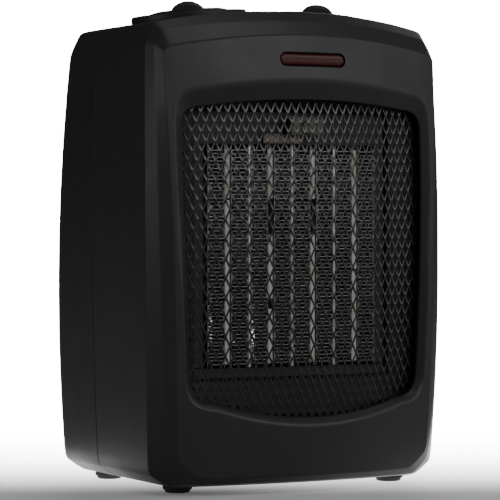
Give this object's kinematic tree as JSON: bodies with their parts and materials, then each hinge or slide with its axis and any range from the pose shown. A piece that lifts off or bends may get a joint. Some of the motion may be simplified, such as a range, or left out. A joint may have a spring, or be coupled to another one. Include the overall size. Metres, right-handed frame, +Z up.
{
  "type": "ceramic space heater",
  "caption": "Small upright ceramic fan heater with a bowed mesh outlet, ceramic heater block, fan, round controls on the arched top and rubber feet.",
  "frame": {"origin": "on the floor under the middle of the housing", "axes": "+Z up, the warm air leaves towards -Y, +X is the right-hand side seen from the front"},
  "size_m": [0.1688, 0.1334, 0.2476],
  "materials": {
    "front_housing": "satin, fine moulded grain",
    "rear_housing": "satin, fine moulded grain",
    "outlet_grille": "black enamel on expanded steel",
    "intake_grille": "satin",
    "outlet_duct": "moulded",
    "ptc_tube_1": "pale insulated ceramic",
    "ptc_tube_2": "pale insulated ceramic",
    "ptc_tube_3": "pale insulated ceramic",
    "ptc_tube_4": "pale insulated ceramic",
    "fin_column_1": "folded bright sheet",
    "fin_column_2": "folded bright sheet",
    "fin_column_3": "folded bright sheet",
    "fin_column_4": "folded bright sheet",
    "fin_column_5": "folded bright sheet",
    "fin_column_6": "folded bright sheet",
    "fin_column_7": "folded bright sheet",
    "fin_column_8": "folded bright sheet",
    "contact_strip_1": "bright",
    "contact_strip_2": "bright",
    "contact_strip_3": "bright",
    "heater_frame_bottom": "moulded",
    "heater_frame_top": "moulded",
    "side_rail_left": "moulded",
    "side_rail_right": "moulded",
    "cutout_bracket": "dull",
    "thermal_cutout": "pressed cap",
    "fan_plate": "moulded",
    "fan_motor": "drawn can",
    "motor_bracket": "pressed",
    "fan_impeller": "moulded",
    "power_dial": "satin",
    "thermostat_dial": "satin",
    "power_knob": "satin",
    "thermostat_knob": "satin",
    "power_switch": "moulded",
    "thermostat": "moulded body",
    "indicator_lens": "clear red",
    "lamp_holder": "moulded",
    "indicator_lamp": "neon lamp",
    "foot_left_front": "matt",
    "foot_right_front": "matt",
    "foot_left_rear": "matt",
    "foot_right_rear": "matt",
    "rear_screw_1": "zinc plated",
    "rear_screw_2": "zinc plated",
    "rear_screw_3": "zinc plated",
    "rear_screw_4": "zinc plated",
    "cord_gland": "matt",
    "cord_clamp": "moulded",
    "lead_supply": "insulated wire",
    "lead_heater": "insulated wire",
    "lead_thermostat": "insulated wire"
  },
  "bodies": {
    "housing": {"front_housing": "front_housing", "rear_housing": "rear_housing", "outlet_grille": "outlet_grille", "intake_grille": "intake_grille", "outlet_duct": "outlet_duct", "ptc_tube_1": "ptc_tube_1", "ptc_tube_2": "ptc_tube_2", "ptc_tube_3": "ptc_tube_3", "ptc_tube_4": "ptc_tube_4", "fin_column_1": "fin_column_1", "fin_column_2": "fin_column_2", "fin_column_3": "fin_column_3", "fin_column_4": "fin_column_4", "fin_column_5": "fin_column_5", "fin_column_6": "fin_column_6", "fin_column_7": "fin_column_7", "fin_column_8": "fin_column_8", "contact_strip_1": "contact_strip_1", "contact_strip_2": "contact_strip_2", "contact_strip_3": "contact_strip_3", "heater_frame_bottom": "heater_frame_bottom", "heater_frame_top": "heater_frame_top", "side_rail_left": "side_rail_left", "side_rail_right": "side_rail_right", "cutout_bracket": "cutout_bracket", "thermal_cutout": "thermal_cutout", "fan_plate": "fan_plate", "fan_motor": "fan_motor", "motor_bracket": "motor_bracket", "power_dial": "power_dial", "thermostat_dial": "thermostat_dial", "power_switch": "power_switch", "thermostat": "thermostat", "indicator_lens": "indicator_lens", "lamp_holder": "lamp_holder", "indicator_lamp": "indicator_lamp", "foot_left_front": "foot_left_front", "foot_right_front": "foot_right_front", "foot_left_rear": "foot_left_rear", "foot_right_rear": "foot_right_rear", "rear_screw_1": "rear_screw_1", "rear_screw_2": "rear_screw_2", "rear_screw_3": "rear_screw_3", "rear_screw_4": "rear_screw_4", "cord_gland": "cord_gland", "cord_clamp": "cord_clamp", "lead_supply": "lead_supply", "lead_heater": "lead_heater", "lead_thermostat": "lead_thermostat"},
    "power_knob": {"power_knob": "power_knob"},
    "thermostat_knob": {"thermostat_knob": "thermostat_knob"},
    "fan_rotor": {"fan_impeller": "fan_impeller"}
  },
  "joints": [
    {"name": "power_knob_turn", "type": "hinge", "parent": "housing", "child": "power_knob", "pos_m": [-0.0376, -0.00064, 0.23873], "axis": [0.0855, 0, -0.9963], "range_deg": [0, 270]},
    {"name": "thermostat_knob_turn", "type": "hinge", "parent": "housing", "child": "thermostat_knob", "pos_m": [0.0376, -0.00064, 0.23873], "axis": [-0.0855, 0, -0.9963], "range_deg": [0, 300]},
    {"name": "fan_spin", "type": "hinge", "parent": "housing", "child": "fan_rotor", "pos_m": [0, 0.00486, 0.1175], "axis": [0, -1, 0], "continuous": true}
  ]
}
